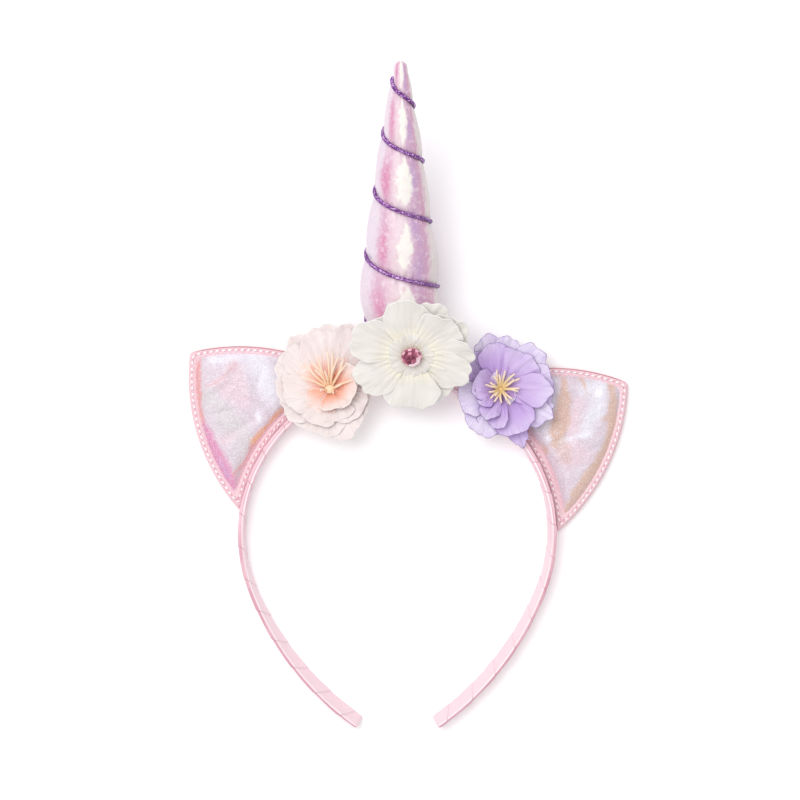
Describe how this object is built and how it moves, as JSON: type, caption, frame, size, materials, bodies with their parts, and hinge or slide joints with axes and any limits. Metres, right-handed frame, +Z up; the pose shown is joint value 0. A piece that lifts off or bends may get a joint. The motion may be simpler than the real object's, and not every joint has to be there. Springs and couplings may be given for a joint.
{
  "type": "unicorn horn headband",
  "caption": "Ribbon-wound alice band with a stuffed iridescent horn wound with cord, padded ears, cloth flowers and a rhinestone.",
  "frame": {"origin": "on the table under the band's crown, mid-way through the band's wall, at the middle of the rest_face mount", "axes": "+Y from the head toward the horn's tip, +Z up from the table on which it lies, +X to the right as seen from above with the horn pointing away"},
  "size_m": [0.1766, 0.2616, 0.0479],
  "materials": {
    "ribbon": "satin",
    "ear_cloth": "satin",
    "ear_backing": "matte",
    "horn_cloth": "satin",
    "cord": "satin",
    "peach_petal": "matte",
    "white_petal": "matte",
    "purple_petal": "matte",
    "stamen": "satin",
    "stone": "polished"
  },
  "bodies": {
    "root": {"headband": "ribbon", "left_ear_face": "ear_cloth", "left_ear_back": "ear_backing", "right_ear_face": "ear_cloth", "right_ear_back": "ear_backing", "horn": "horn_cloth", "horn_cord": "cord", "peach_back_petals": "peach_petal", "peach_front_petals": "peach_petal", "peach_heart_petals": "peach_petal", "peach_stamens": "stamen", "white_back_petals": "white_petal", "white_front_petals": "white_petal", "white_heart_petals": "white_petal", "rhinestone": "stone", "purple_back_petals": "purple_petal", "purple_front_petals": "purple_petal", "purple_heart_petals": "purple_petal", "purple_stamens": "stamen"}
  },
  "joints": []
}
